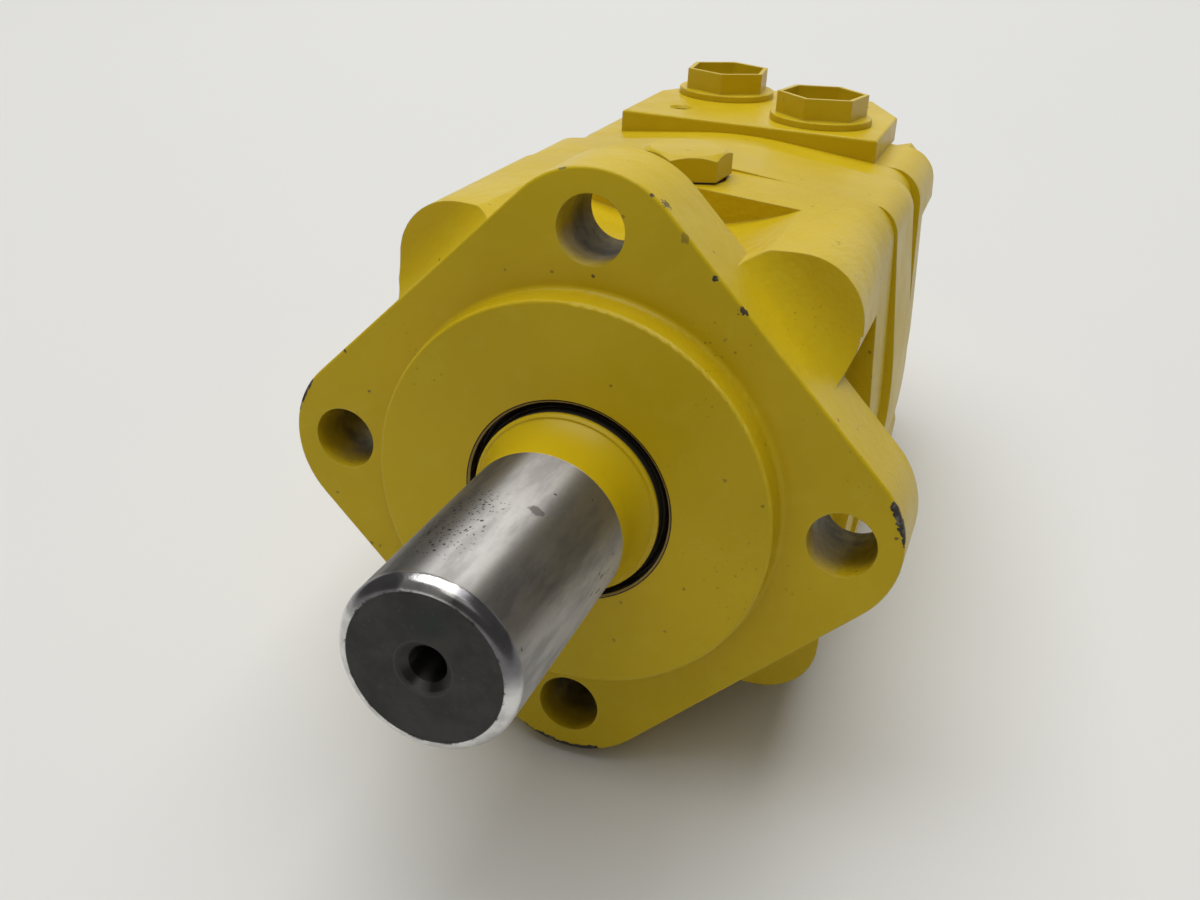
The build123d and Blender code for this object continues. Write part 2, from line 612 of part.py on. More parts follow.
# ------------------------------------------------------------------ port housing
with BuildPart() as port_housing:
    # front rim and lobed block
    add(section(Y_PLATE, *CAP).sketch)
    extrude(amount=Y_LOBE - Y_PLATE, dir=BACK)
    rear_edges = edges().filter_by_position(Axis.Y, Y_LOBE - 0.01, Y_LOBE + 0.01)
    fillet(rear_edges, radius=1.6)
    # valleys between the lobes on both sides and underneath
    with Locations(*[Location((145.5 * cos(radians(a)), 122.5 + 15, 145.5 * sin(radians(a))), (90, 0, 0)) for a in (0, 180, 270)]):
        Cylinder(radius=104, height=30, mode=Mode.SUBTRACT)
    # round rear body
    with BuildSketch(at(Y_PLATE + 2)):
        Circle(41.5)
    extrude(amount=Y_END - Y_PLATE - 2, dir=BACK)
    fillet(edges().filter_by(GeomType.CIRCLE).filter_by_position(Axis.Y, Y_END - 0.01, Y_END + 0.01), radius=3.0)
    # raised port pad with cut rear corners; its neck leaves room for the tie bolt heads
    with BuildSketch(Plane.XY.offset(20)):
        with BuildLine():
            Polyline((-26.3, Y_PLATE), (26.3, Y_PLATE), (26.3, 163.0), (22.0, PAD_END), (-22.0, PAD_END), (-26.3, 163.0), close=True)
        make_face()
    extrude(amount=PAD_Z - 21)
    with BuildSketch(Plane.XY.offset(40)):
        with Locations((0, (Y_PLATE + Y_LOBE) / 2)):
            Rectangle(2 * PAD_X, Y_LOBE - Y_PLATE)
    extrude(amount=PAD_Z - 41)
    with BuildSketch(Plane.XY.offset(45.8)):
        with BuildLine():
            Polyline((-PAD_X, Y_PLATE), (PAD_X, Y_PLATE), (PAD_X, 148.0), (24.0, PAD_END), (-24.0, PAD_END), (-PAD_X, 148.0), close=True)
        make_face()
    extrude(amount=PAD_Z - 45.8)
    top_edges = edges().filter_by_position(Axis.Z, PAD_Z - 0.01, PAD_Z + 0.01)
    fillet(top_edges, radius=0.7)
    # valve chamber, balance ring bore and rear gallery
    with BuildSketch(Plane.XY):
        with BuildLine():
            Polyline((0, Y_PLATE - 1), (36.0, Y_PLATE - 1), (36.0, 127.5), (33.95, 127.5), (33.95, 141.3), (23.0, 141.3), (23.0, 137.5),
                     (17.0, 137.5), (17.0, 160.0), (0, 163.0), close=True)
        make_face()
    revolve(axis=Axis.Y, mode=Mode.SUBTRACT)
    # tie bolt holes
    with BuildSketch(at(Y_PLATE)):
        with Locations(*tie_points):
            Circle(TIE_HOLE_R)
    extrude(amount=Y_LOBE - Y_PLATE + 1, dir=BACK, mode=Mode.SUBTRACT)
    # O-ring groove in the front face
    with BuildSketch(at(Y_PLATE)):
        Circle(42.6)
        Circle(40.0, mode=Mode.SUBTRACT)
    extrude(amount=1.7, dir=BACK, mode=Mode.SUBTRACT)
    # the two ports and their passages
    with Locations((PORT_A[0], PORT_A[1], PAD_Z - 7.5), (PORT_B[0], PORT_B[1], PAD_Z - 7.5)):
        Cylinder(radius=PORT_BORE_R, height=15, mode=Mode.SUBTRACT)
    with Locations((PORT_A[0] + 3, PORT_A[1], 25.0)):
        Cylinder(radius=5.0, height=34, mode=Mode.SUBTRACT)
    with Locations((PORT_B[0], PORT_B[1] - 8.0, 33.0)):
        Cylinder(radius=4.0, height=9, mode=Mode.SUBTRACT)
    # threaded holes for a valve block
    with Locations((-21.5, 127.0, PAD_Z - 6), (21.5, 157.3, PAD_Z - 6)):
        Cylinder(radius=2.5, height=12, mode=Mode.SUBTRACT)
    with Locations((-21.5, 127.0, PAD_Z - 0.4), (21.5, 157.3, PAD_Z - 0.4)):
        Cone(bottom_radius=2.5, top_radius=3.2, height=0.8, mode=Mode.SUBTRACT)
save(port_housing.part, "port_housing")

# ------------------------------------------------------------------ tie bolts and washers
with BuildPart() as tie_bolts:
    with BuildSketch(at(52.0)):
        with Locations(*tie_points):
            Circle(TIE_R)
    extrude(amount=Y_LOBE + 2.0 - 52.0, dir=BACK)
    with BuildSketch(at(Y_LOBE + 2.0)):
        with Locations(*tie_points):
            RegularPolygon(radius=8.0, side_count=6, major_radius=False, rotation=15)
    extrude(amount=6.4, dir=BACK)
save(tie_bolts.part, "tie_bolts")

with BuildPart() as tie_bolt_washers:
    with BuildSketch(at(Y_LOBE)):
        with Locations(*tie_points):
            Circle(8.7)
        with Locations(*tie_points):
            Circle(TIE_R + 0.2, mode=Mode.SUBTRACT)
    extrude(amount=2.0, dir=BACK)
save(tie_bolt_washers.part, "tie_bolt_washers")

# ------------------------------------------------------------------ drain plug and its sealing washer
with BuildPart() as drain_plug:
    with BuildSketch(Plane.XY.offset(51.0)):
        with Locations((0, DRAIN_Y)):
            RegularPolygon(radius=DRAIN_HEX_AF / 2, side_count=6, major_radius=False, rotation=26)
    extrude(amount=5.6)
    # rounded-off corners of the hexagon
    with BuildSketch(Plane.XZ.offset(-DRAIN_Y)):
        with BuildLine():
            Polyline((0, 50), (11.2, 50), (11.2, 55.0), (8.4, 56.6), (0, 56.6), close=True)
        make_face()
    revolve(axis=Axis((0, DRAIN_Y, 0), (0, 0, 1)), mode=Mode.INTERSECT)
    with Locations((0, DRAIN_Y, 45.6)):
        Cylinder(radius=DRAIN_BORE_R - 0.05, height=11.0)
save(drain_plug.part, "drain_plug")

with BuildPart() as drain_plug_washer:
    with BuildSketch(Plane.XY.offset(49.3)):
        with Locations((0, DRAIN_Y)):
            Circle(8.2)
            Circle(DRAIN_BORE_R + 0.2, mode=Mode.SUBTRACT)
    extrude(amount=1.7)
save(drain_plug_washer.part, "drain_plug_washer")

# ------------------------------------------------------------------ hollow hexagon transport plugs of the ports
for tag, (px, py), rot in (("a", PORT_A, 36.0), ("b", PORT_B, 19.0)):
    with BuildPart() as port_plug:
        with BuildSketch(Plane.XY.offset(PAD_Z)):
            with Locations((px, py)):
                Circle(PLUG_COLLAR_R)
        extrude(amount=1.8)
        fillet(port_plug.edges().filter_by(GeomType.CIRCLE).group_by(Axis.Z)[-1], radius=0.4)
        with BuildSketch(Plane.XY.offset(PAD_Z + 1.8)):
            with Locations((px, py)):
                RegularPolygon(radius=PLUG_HEX_AF / 2, side_count=6, major_radius=False, rotation=rot)
        extrude(amount=PLUG_TOP_Z - PAD_Z - 1.8)
        with Locations((px, py, PAD_Z - 5.5)):
            Cylinder(radius=PORT_BORE_R - 0.1, height=11)
        # hexagon hollow
        with BuildSketch(Plane.XY.offset(PLUG_TOP_Z)):
            with Locations((px, py)):
                RegularPolygon(radius=PLUG_HEX_AF / 2 - 1.15, side_count=6, major_radius=False, rotation=rot)
        extrude(amount=-5.6, mode=Mode.SUBTRACT)
        with Locations((px, py, PAD_Z - 3.0)):
            Cylinder(radius=7.6, height=11.5, mode=Mode.SUBTRACT)
    save(port_plug.part, f"port_plug_{tag}")
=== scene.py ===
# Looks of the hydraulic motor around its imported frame.
# Metres, in the motor's own frame: +Y from the flange face to the rear, +Z up through the port pad.
import math
import bpy
import bmesh
from mathutils import Matrix, Vector

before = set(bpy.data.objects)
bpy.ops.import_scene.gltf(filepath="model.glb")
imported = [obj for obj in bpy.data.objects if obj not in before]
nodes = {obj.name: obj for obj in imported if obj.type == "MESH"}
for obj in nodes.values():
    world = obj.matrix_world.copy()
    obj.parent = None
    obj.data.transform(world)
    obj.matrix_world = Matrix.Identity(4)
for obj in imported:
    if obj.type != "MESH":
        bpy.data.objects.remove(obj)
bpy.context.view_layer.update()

scene = bpy.context.scene
MM = 0.001


# ------------------------------------------------------------------ node helpers
class Tree:
    """Short hand for building a shader tree."""

    def __init__(self, name):
        self.mat = bpy.data.materials.new(name)
        self.mat.use_nodes = True
        self.t = self.mat.node_tree
        self.t.nodes.clear()
        self.out = self.t.nodes.new("ShaderNodeOutputMaterial")
        self.bsdf = self.t.nodes.new("ShaderNodeBsdfPrincipled")
        self.t.links.new(self.bsdf.outputs[0], self.out.inputs[0])
        tc = self.t.nodes.new("ShaderNodeTexCoord")
        self.obj = tc.outputs["Object"]
        self.geo = self.t.nodes.new("ShaderNodeNewGeometry")
        self.normal = self.geo.outputs["Normal"]

    def set(self, socket, value):
        if isinstance(value, bpy.types.NodeSocket):
            self.t.links.new(value, socket)
        else:
            socket.default_value = value

    def math(self, op, a, b=None, c=None, clamp=False):
        n = self.t.nodes.new("ShaderNodeMath")
        n.operation = op
        n.use_clamp = clamp
        for i, v in enumerate((a, b, c)):
            if v is not None:
                self.set(n.inputs[i], v)
        return n.outputs[0]

    def vmath(self, op, a, b=None, scale=None):
        n = self.t.nodes.new("ShaderNodeVectorMath")
        n.operation = op
        self.set(n.inputs[0], a)
        if b is not None:
            self.set(n.inputs[1], b)
        if scale is not None:
            n.inputs["Scale"].default_value = scale
        return n.outputs["Value"] if op in ("LENGTH", "DOT_PRODUCT", "DISTANCE") else n.outputs["Vector"]

    def split(self, v):
        n = self.t.nodes.new("ShaderNodeSeparateXYZ")
        self.set(n.inputs[0], v)
        return n.outputs[0], n.outputs[1], n.outputs[2]

    def join(self, x, y, z):
        n = self.t.nodes.new("ShaderNodeCombineXYZ")
        for i, v in enumerate((x, y, z)):
            self.set(n.inputs[i], v)
        return n.outputs[0]

    def scaled(self, v, s):
        n = self.t.nodes.new("ShaderNodeMapping")
        self.set(n.inputs["Vector"], v)
        n.inputs["Scale"].default_value = s
        return n.outputs[0]

    def noise(self, scale, detail=3.0, rough=0.5, vec=None, lac=2.0, dist=0.0, w=None):
        n = self.t.nodes.new("ShaderNodeTexNoise")
        if w is not None:
            n.noise_dimensions = "4D"
            n.inputs["W"].default_value = w
        self.set(n.inputs["Vector"], self.obj if vec is None else vec)
        n.inputs["Scale"].default_value = scale
        n.inputs["Detail"].default_value = detail
        n.inputs["Roughness"].default_value = rough
        n.inputs["Lacunarity"].default_value = lac
        n.inputs["Distortion"].default_value = dist
        return n.outputs[0]

    def colour_noise(self, scale):
        n = self.t.nodes.new("ShaderNodeTexNoise")
        self.set(n.inputs["Vector"], self.obj)
        n.inputs["Scale"].default_value = scale
        n.inputs["Detail"].default_value = 2.0
        return n.outputs[1]

    def voronoi(self, scale, vec=None, feature="F1", out="Distance", rand=1.0):
        n = self.t.nodes.new("ShaderNodeTexVoronoi")
        n.feature = feature
        self.set(n.inputs["Vector"], self.obj if vec is None else vec)
        n.inputs["Scale"].default_value = scale
        n.inputs["Randomness"].default_value = rand
        return n.outputs[out]

    def step(self, v, lo, hi, to_lo=0.0, to_hi=1.0, smooth=True):
        """Smooth step of v from lo to hi; lo may be above hi."""
        n = self.t.nodes.new("ShaderNodeMapRange")
        n.interpolation_type = "SMOOTHSTEP" if smooth else "LINEAR"
        self.set(n.inputs["Value"], v)
        n.inputs["From Min"].default_value = lo
        n.inputs["From Max"].default_value = hi
        n.inputs["To Min"].default_value = to_lo
        n.inputs["To Max"].default_value = to_hi
        return n.outputs[0]

    def mix(self, fac, a, b):
        n = self.t.nodes.new("ShaderNodeMix")
        n.data_type = "RGBA"
        self.set(n.inputs[0], fac)
        self.set(n.inputs[6], a if isinstance(a, bpy.types.NodeSocket) else (*a, 1.0))
        self.set(n.inputs[7], b if isinstance(b, bpy.types.NodeSocket) else (*b, 1.0))
        return n.outputs[2]

    def mixf(self, fac, a, b):
        n = self.t.nodes.new("ShaderNodeMix")
        n.data_type = "FLOAT"
        self.set(n.inputs[0], fac)
        self.set(n.inputs[2], a)
        self.set(n.inputs[3], b)
        return n.outputs[0]

    def mul(self, *v):
        r = v[0]
        for x in v[1:]:
            r = self.math("MULTIPLY", r, x)
        return r

    def add(self, *v):
        r = v[0]
        for x in v[1:]:
            r = self.math("ADD", r, x)
        return r

    def most(self, *v):
        r = v[0]
        for x in v[1:]:
            r = self.math("MAXIMUM", r, x)
        return r

    def inv(self, v):
        return self.math("SUBTRACT", 1.0, v)

    def bump(self, height, distance, strength=1.0, normal=None):
        n = self.t.nodes.new("ShaderNodeBump")
        n.inputs["Strength"].default_value = strength
        n.inputs["Distance"].default_value = distance
        self.set(n.inputs["Height"], height)
        if normal is not None:
            self.set(n.inputs["Normal"], normal)
        return n.outputs[0]

    def soft_edge(self, radius, samples=6):
        n = self.t.nodes.new("ShaderNodeBevel")
        n.samples = samples
        n.inputs["Radius"].default_value = radius
        return n.outputs[0]

    def near(self, point, radius, soft=0.5):
        """1 close to a point in the motor's frame (mm), falling to 0 at the radius."""
        d = self.vmath("DISTANCE", self.obj, tuple(c * MM for c in point))
        return self.step(d, radius * MM, radius * MM * (1 - soft))


YELLOW = (0.61, 0.440, 0.009)
YELLOW_DEEP = (0.545, 0.385, 0.005)
YELLOW_PALE = (0.63, 0.49, 0.030)
PRIMER = (0.050, 0.044, 0.038)
GREY = (0.15, 0.14, 0.12)


def paint(name, cast=0.0, peel=0.10, specks=0.25, spots=(), edge=0.0, housing=False, brush=0.0):
    """Sprayed yellow enamel over iron or steel. spots: (point mm, (rx, ry, rz) mm, darkness) of small bare places."""
    t = Tree(name)
    x, y, z = t.split(t.obj)
    tn = t.geo.outputs["True Normal"]
    nx, ny, nz = t.split(tn)
    # colour: slow drift in film thickness, faint mottling
    drift = t.noise(20, 3, 0.55)
    mott = t.noise(150, 4, 0.65)
    col = t.mix(t.step(drift, 0.30, 0.72), YELLOW, YELLOW_DEEP)
    col = t.mix(t.mul(t.step(mott, 0.48, 0.72), 0.30), col, YELLOW_PALE)
    # fine dirt specks, gathered in loose clusters
    cl = t.step(t.noise(34, 3, 0.6, w=3.1), 0.52, 0.68)
    warped = t.vmath("ADD", t.obj, t.vmath("SCALE", t.colour_noise(900), None, 0.0011))
    sp = t.step(t.voronoi(620, vec=warped), 0.17, 0.09)
    sp2 = t.step(t.noise(1700, 2, 0.5, w=7.7), 0.725, 0.76)
    speck = t.mul(t.most(sp, sp2), cl, specks)
    few = t.mul(t.step(t.voronoi(150, vec=warped), 0.070, 0.040), specks)
    speck = t.most(speck, few)
    col = t.mix(speck, col, (0.070, 0.052, 0.020))
    # bare places
    cn = t.noise(480, 4, 0.66, w=1.7)
    cn2 = t.noise(1500, 2, 0.5, w=4.7)
    ragged = t.add(t.mul(t.math("SUBTRACT", cn, 0.5), 2.6), t.mul(t.math("SUBTRACT", cn2, 0.5), 2.2))
    chip = None
    for p, r, amount in spots:
        q = t.vmath("DIVIDE", t.vmath("SUBTRACT", t.obj, tuple(c * MM for c in p)), tuple(c * MM for c in r))
        d = t.math("ADD", t.vmath("LENGTH", q), ragged)
        c = t.mul(t.step(d, 1.0, 0.80), amount)
        chip = c if chip is None else t.most(chip, c)
    rough = t.step(t.noise(90, 2, 0.5, w=4.4), 0.3, 0.7, 0.30, 0.40)
    if housing:
        # scraped strips along the flange's front edge: corner centre (mm), reach, span and height along the edge
        for cx, cz, lo, hi, axis, wide in ((44.82, 0, 0.5, 12.5, 2, 0.85), (0, -44.82, -14.0, 13.0, 0, 0.75), (-44.82, 0, 1.0, 15.0, 2, 0.40),
                                          (44.82, 0, -16.0, 1.0, 2, 0.16)):
            dx = t.math("SUBTRACT", x, cx * MM)
            dz = t.math("SUBTRACT", z, cz * MM)
            rho = t.math("SQRT", t.add(t.mul(dx, dx), t.mul(dz, dz)))
            inner = t.math("MAXIMUM", t.math("SUBTRACT", 20 * MM, rho), 0.0)
            e = t.mul(t.add(inner, t.math("MAXIMUM", y, 0.0)), 1000.0)
            along = z if axis == 2 else x
            mid, half = (lo + hi) / 2 * MM, (hi - lo) / 2 * MM
            env = t.math("ABSOLUTE", t.mul(t.math("SUBTRACT", along, mid), 1.0 / half))
            env = t.mul(t.step(env, 1.0, 0.35), wide)
            w = t.mul(env, t.step(t.add(t.noise(170, 4, 0.65, w=5.9), t.mul(cn2, 0.25)), 0.40, 0.72, 0.12, 1.9))
            side = t.step(t.math("ABSOLUTE", t.math("SUBTRACT", x if axis == 2 else z, cx * MM if axis == 2 else cz * MM)), 4 * MM, 6 * MM)
            outer = t.step(t.mul(x, 1.0 if cx > 0 else -1.0) if axis == 2 else t.mul(z, -1.0), 44.0 * MM, 45.0 * MM)
            c = t.mul(t.step(t.math("SUBTRACT", e, w), 0.10, -0.06), t.step(env, 0.02, 0.08), outer, side)
            chip = c if chip is None else t.most(chip, c)
        # thin dark arc on the flange face beside the pilot
        r0 = t.math("SQRT", t.add(t.mul(x, x), t.mul(z, z)))
        line = t.step(t.math("ABSOLUTE", t.math("SUBTRACT", t.add(r0, t.mul(t.math("SUBTRACT", t.noise(60, 2, 0.5, w=8.1), 0.5), 2.2 * MM)), 42.9 * MM)), 0.26 * MM, 0.12 * MM)
        c = t.mul(line, t.step(x, -38 * MM, -41 * MM), t.step(z, 2.0 * MM, 0.0), t.step(z, -16 * MM, -12 * MM), t.step(t.math("ABSOLUTE", y), 0.6 * MM, 0.3 * MM), 0.85)
        chip = t.most(chip, c)
    if edge:
        bev = t.soft_edge(0.7 * MM)
        e = t.inv(t.vmath("DOT_PRODUCT", bev, tn))
        wear = t.step(t.math("ADD", e, t.mul(t.noise(300, 4, 0.65, w=9.2), 0.62)), 0.66 - edge * 0.20, 0.70 - edge * 0.20)
        wear = t.mul(wear, t.step(e, 0.015, 0.05), t.step(t.noise(24, 2, 0.5, w=2.2), 0.56, 0.66), 0.9)
        chip = wear if chip is None else t.most(chip, wear)
        # paint is thin and pale along the edges; the pale colour is partly a painted sheen on the edges
        thin = t.mul(t.step(e, 0.01, 0.10), t.step(t.noise(120, 3, 0.6, w=6.3), 0.35, 0.60), 0.45)
        col = t.mix(thin, col, (0.66, 0.54, 0.10))
    if chip is not None:
        col = t.mix(chip, col, t.mix(t.step(t.noise(620, 3, 0.6), 0.50, 0.66), PRIMER, GREY))
        rough = t.mixf(chip, rough, 0.55)
    metal = None
    if housing:
        # walls of the flange holes: thin paint near the front, bare metal deeper in, both coloured darker with depth
        # as painted shade inside the holes
        hole = None
        for hx, hz in ((53.2, 0), (0, 53.2), (-53.2, 0), (0, -53.2)):
            dx = t.math("SUBTRACT", x, hx * MM)
            dz = t.math("SUBTRACT", z, hz * MM)
            d = t.math("SQRT", t.add(t.mul(dx, dx), t.mul(dz, dz)))
            m = t.step(d, 6.86 * MM, 6.80 * MM)
            hole = m if hole is None else t.most(hole, m)
        hole = t.mul(hole, t.step(t.math("ABSOLUTE", ny), 0.5, 0.3), t.step(y, 18.9 * MM, 18.6 * MM))
        fade = t.add(y, t.mul(t.math("SUBTRACT", t.noise(150, 4, 0.6, w=5.5), 0.5), 12 * MM), t.mul(t.math("SUBTRACT", t.noise(40, 2, 0.5, w=1.5), 0.5), 16 * MM))
        # thin paint, then bare metal, each darker in colour than the real surface: partly painted shade of the hole
        film = t.mul(hole, t.step(fade, 0.0 * MM, 6.0 * MM))
        bare = t.mul(hole, t.step(fade, 6.5 * MM, 13.0 * MM))
        hcol = t.mix(t.step(t.noise(260, 4, 0.6, w=6.1), 0.35, 0.65), (0.085, 0.066, 0.022), (0.190, 0.150, 0.050))
        col = t.mix(t.mul(film, 0.60), col, (0.22, 0.155, 0.012))
        col = t.mix(bare, col, hcol)
        rough = t.mixf(bare, rough, 0.5)
        metal = t.mul(bare, 0.12)
        # wall of the seal bore: dark with dirty blotches, the darkness partly painted shade of the deep gap; a thin
        # black ring round its edge and a tan ring on the face
        r0 = t.math("SQRT", t.add(t.mul(x, x), t.mul(z, z)))
        bore = t.mul(t.step(r0, 21.42 * MM, 21.30 * MM), t.step(y, 12 * MM, 10 * MM))
        line = t.mul(t.step(r0, 21.66 * MM, 21.60 * MM), t.step(y, 12 * MM, 10 * MM))
        tan = t.mul(t.step(r0, 21.40 * MM, 21.36 * MM), t.step(r0, 20.98 * MM, 21.04 * MM), t.step(y, 0.0, -2 * MM))
        col = t.mix(line, col, (0.016, 0.012, 0.008))
        # dirt blotches mixed with painted shade of the deep gap on the bore wall
        col = t.mix(bore, col, t.mix(t.step(t.noise(700, 4, 0.65, w=3.3), 0.42, 0.66), (0.026, 0.019, 0.010), (0.13, 0.095, 0.035)))
        col = t.mix(tan, col, (0.42, 0.31, 0.115))
    # relief
    h = t.mul(t.noise(520, 3, 0.5), peel)
    if cast:
        c = t.add(t.mul(t.noise(190, 5, 0.66, w=8.8), 1.1), t.mul(t.noise(900, 3, 0.55, w=0.8), 0.30))
        if brush:
            # streaky, brushed-over skin on the lobes' tops and sides
            br = t.noise(1.0, 4, 0.62, vec=t.join(t.mul(t.add(x, t.mul(y, -0.25)), 900.0), t.mul(y, 150.0), t.mul(z, 900.0)))
            c = t.add(c, t.mul(br, brush, t.step(y, 16 * MM, 20 * MM)))
        machined = t.mul(t.step(t.math("ABSOLUTE", ny), 0.90, 0.97), t.step(y, 0.6 * MM, 0.3 * MM))
        c = t.mul(c, cast, t.inv(t.mul(machined, 0.88)))
        h = t.add(h, c)
    if chip is not None:
        h = t.math("SUBTRACT", h, t.mul(chip, 0.8))
    normal = t.bump(h, 0.13 * MM, 1.0, normal=t.soft_edge(0.40 * MM, 5))
    t.set(t.bsdf.inputs["Base Color"], col)
    t.set(t.bsdf.inputs["Roughness"], rough)
    if metal is not None:
        t.set(t.bsdf.inputs["Metallic"], metal)
    t.set(t.bsdf.inputs["Normal"], normal)
    t.bsdf.inputs["Specular IOR Level"].default_value = 0.20
    return t.mat


def plain(name, colour, rough, metallic=0.0, grain=0.0, scale=400, colour2=None, stretch=None, spec=0.5):
    """Inner steel, iron, rubber and plastic pieces."""
    t = Tree(name)
    vec = t.scaled(t.obj, stretch) if stretch else t.obj
    n = t.noise(scale, 4, 0.6, vec=vec)
    c2 = colour2 or tuple(c * 0.72 for c in colour)
    col = t.mix(t.step(n, 0.35, 0.68), colour, c2)
    t.set(t.bsdf.inputs["Base Color"], col)
    t.set(t.bsdf.inputs["Roughness"], t.step(t.noise(scale * 0.4, 3, 0.55, vec=vec, w=2.0), 0.3, 0.7, rough * 0.85, min(1.0, rough * 1.2)))
    t.bsdf.inputs["Metallic"].default_value = metallic
    t.bsdf.inputs["Specular IOR Level"].default_value = spec
    t.set(t.bsdf.inputs["Normal"], t.bump(n, 0.02 * MM + grain * MM, 1.0, normal=t.soft_edge(0.2 * MM, 4)))
    return t.mat


def shaft_material():
    """Ground steel journal with handling marks, a painted collar and a dark sawn end face."""
    t = Tree("shaft_steel_and_overspray")
    x, y, z = t.split(t.obj)
    r = t.math("SQRT", t.add(t.mul(x, x), t.mul(z, z)))
    # unit vector round the shaft, so that no pattern has a seam
    ux, uz = t.math("DIVIDE", x, r), t.math("DIVIDE", z, r)
    # fine grinding lines round the journal, broad tarnish along it
    rings = t.noise(1.0, 3, 0.6, vec=t.join(t.mul(ux, 1.5), t.mul(y, 4200.0), t.mul(uz, 1.5)))
    tarnish = t.noise(1.0, 4, 0.62, vec=t.join(t.mul(ux, 3.2), t.mul(y, 48.0), t.mul(uz, 3.2)))
    base = t.mix(t.step(tarnish, 0.38, 0.66), (0.42, 0.41, 0.40), (0.29, 0.28, 0.27))
    base = t.mix(t.mul(t.step(rings, 0.4, 0.7), 0.18), base, (0.30, 0.29, 0.28))
    # small irregular pits, thick in a patch on the upper side, and scuffs lower down on the right
    vec = t.join(t.mul(ux, 20.0), t.mul(y, 1100.0), t.mul(uz, 20.0))
    wob = t.vmath("ADD", vec, t.vmath("SCALE", t.colour_noise(700), None, 1.3))
    cell = t.step(t.voronoi(1.0, vec=wob), 0.30, 0.20)
    few = t.step(t.voronoi(0.42, vec=wob), 0.20, 0.12)
    patch = t.step(t.math("ADD", t.vmath("LENGTH", t.vmath("DIVIDE", t.vmath("SUBTRACT", t.obj, (-0.004, -0.047, 0.0155)), (0.008, 0.016, 0.009))),
                          t.mul(t.math("SUBTRACT", t.noise(120, 4, 0.65, w=5.2), 0.5), 1.7)), 1.05, 0.55)
    thin = t.step(t.noise(1.0, 3, 0.6, vec=t.join(t.mul(ux, 2.4), t.mul(y, 80.0), t.mul(uz, 2.4))), 0.56, 0.66)
    pits = t.most(t.mul(cell, patch), t.mul(few, thin), t.mul(few, patch))
    dash = t.join(t.mul(ux, 26.0), t.mul(y, 330.0), t.mul(uz, 26.0))
    scuff_zone = t.step(t.math("ADD", t.vmath("LENGTH", t.vmath("DIVIDE", t.vmath("SUBTRACT", t.obj, (0.0155, -0.030, -0.003)), (0.006, 0.010, 0.007))),
                               t.mul(t.math("SUBTRACT", t.noise(160, 4, 0.65, w=2.9), 0.5), 2.0)), 1.0, 0.55)
    scuff = t.mul(t.step(t.noise(0.9, 4, 0.68, vec=dash), 0.60, 0.66), scuff_zone)
    smear = t.step(t.math("ADD", t.vmath("LENGTH", t.vmath("DIVIDE", t.vmath("SUBTRACT", t.obj, (0.0065, -0.037, 0.0145)), (0.0021, 0.0012, 0.0021))),
                          t.mul(t.math("SUBTRACT", t.noise(420, 4, 0.65, w=2.9), 0.5), 2.6)), 0.9, 0.6)
    marks = t.most(pits, scuff, t.mul(smear, 0.65))
    base = t.mix(t.mul(marks, 0.9), base, (0.050, 0.036, 0.026))
    # chamfer: hammered bright on top, bluish dark smudges beside it
    cham = t.mul(t.step(y, -64.0 * MM, -64.5 * MM), t.step(r, 13.6 * MM, 13.9 * MM))
    ang_top = t.add(t.mul(ux, 0.05), t.mul(uz, 1.0))
    tone = t.add(ux, t.mul(t.math("SUBTRACT", t.noise(150, 4, 0.6, w=6.6), 0.5), 0.5))
    top = t.step(uz, 0.30, 0.62)
    dark_right = t.mul(t.step(tone, 0.22, 0.36), t.step(uz, -0.15, 0.25))
    dark_left = t.mul(t.step(tone, -0.22, -0.34), t.step(tone, -0.95, -0.75), t.step(uz, 0.05, 0.4))
    ccol = t.mix(t.step(t.noise(300, 4, 0.6, w=8.8), 0.35, 0.65), (0.72, 0.71, 0.70), (0.50, 0.49, 0.48))
    ccol = t.mix(t.mul(t.most(dark_right, dark_left), 0.85), ccol, (0.100, 0.095, 0.108))
    base = t.mix(cham, base, ccol)
    # dark ragged rim between the chamfer and the end face
    rim = t.mul(t.step(r, 13.2 * MM, 13.6 * MM), t.step(r, 14.2 * MM, 13.9 * MM), t.step(t.noise(330, 4, 0.65, w=3.7), 0.50, 0.60))
    # end face: dark oxide with soft blotches and a greenish wipe
    face = t.mul(t.step(y, -66.2 * MM, -66.5 * MM), t.step(r, 13.9 * MM, 13.7 * MM))
    blot = t.noise(150, 5, 0.62, w=7.1)
    fcol = t.mix(t.step(blot, 0.35, 0.65), (0.042, 0.0415, 0.039), (0.062, 0.060, 0.056))
    green = t.step(t.vmath("LENGTH", t.vmath("DIVIDE", t.vmath("SUBTRACT", t.obj, (0.0, -0.0668, 0.009)), (0.006, 0.01, 0.004))), 1.0, 0.4)
    fcol = t.mix(t.mul(green, t.step(blot, 0.4, 0.6), 0.6), fcol, (0.022, 0.036, 0.028))
    fcol = t.mix(t.mul(t.step(t.noise(800, 3, 0.6, w=1.4), 0.60, 0.70), 0.35), fcol, (0.095, 0.093, 0.088))
    base = t.mix(face, base, fcol)
    base = t.mix(t.mul(rim, 0.8, t.step(y, -65.5 * MM, -66.2 * MM)), base, (0.030, 0.028, 0.030))
    # bore of the end thread
    bore = t.step(r, 5.4 * MM, 5.2 * MM)
    base = t.mix(bore, base, (0.065, 0.063, 0.060))
    # paint collar with a thin edge
    edge = t.math("ADD", y, t.mul(t.math("SUBTRACT", t.noise(60, 2, 0.5, w=2.6), 0.5), 0.9 * MM))
    painted = t.step(edge, -18.8 * MM, -18.6 * MM)
    seal_gap_shade = t.step(y, -7.0 * MM, -6.6 * MM)
    pcol = t.mix(t.step(t.noise(24, 3, 0.5), 0.3, 0.7), YELLOW, YELLOW_DEEP)
